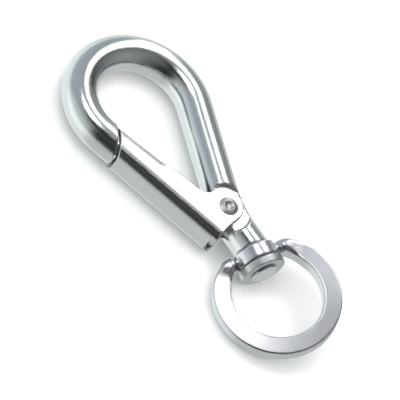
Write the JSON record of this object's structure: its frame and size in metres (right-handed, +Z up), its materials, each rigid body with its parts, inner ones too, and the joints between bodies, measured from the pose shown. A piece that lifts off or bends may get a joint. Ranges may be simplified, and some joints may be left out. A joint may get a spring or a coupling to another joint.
{
  "type": "swivel snap hook",
  "caption": "Steel snap hook: a bent bar hook closed by a sprung sheet gate on a rivet, with a flat round eye that swivels on a spindle at its foot.",
  "frame": {"origin": "middle of the base of the whole part's box, on the floor that it lies on", "axes": "+Z up from the floor, +Y from the eye to the hook, +X away from the gate"},
  "size_m": [0.0509, 0.1035, 0.0131],
  "materials": {
    "bar_zinc": "bright zinc plate over a smooth bent bar",
    "sheet_zinc": "bright zinc plate over pressed sheet",
    "rivet_steel": "bright steel with a formed dimpled head",
    "spring_steel": "plain spring steel",
    "eye_zinc": "bright zinc plate over a fine-grained forging",
    "washer_zinc": "zinc plate over a turned edge"
  },
  "bodies": {
    "hook": {"hook_body": "bar_zinc", "swivel_washer": "washer_zinc"},
    "gate": {"gate": "sheet_zinc", "gate_rivet": "rivet_steel", "gate_spring": "spring_steel"},
    "eye": {"swivel_eye": "eye_zinc"}
  },
  "joints": [
    {"name": "gate_hinge", "type": "hinge", "parent": "hook", "child": "gate", "pos_m": [0.00411, -0.00695, 0.006], "axis": [0, -0.0201, -0.9998], "range_deg": [0, 33], "stiffness_Nm_per_rad": 0.25, "springref_deg": -34.38, "deforming": ["gate_spring"]},
    {"name": "eye_swivel", "type": "hinge", "parent": "hook", "child": "eye", "pos_m": [0.00786, -0.02123, 0.00629], "axis": [0, 0.9998, -0.0201], "continuous": true}
  ]
}
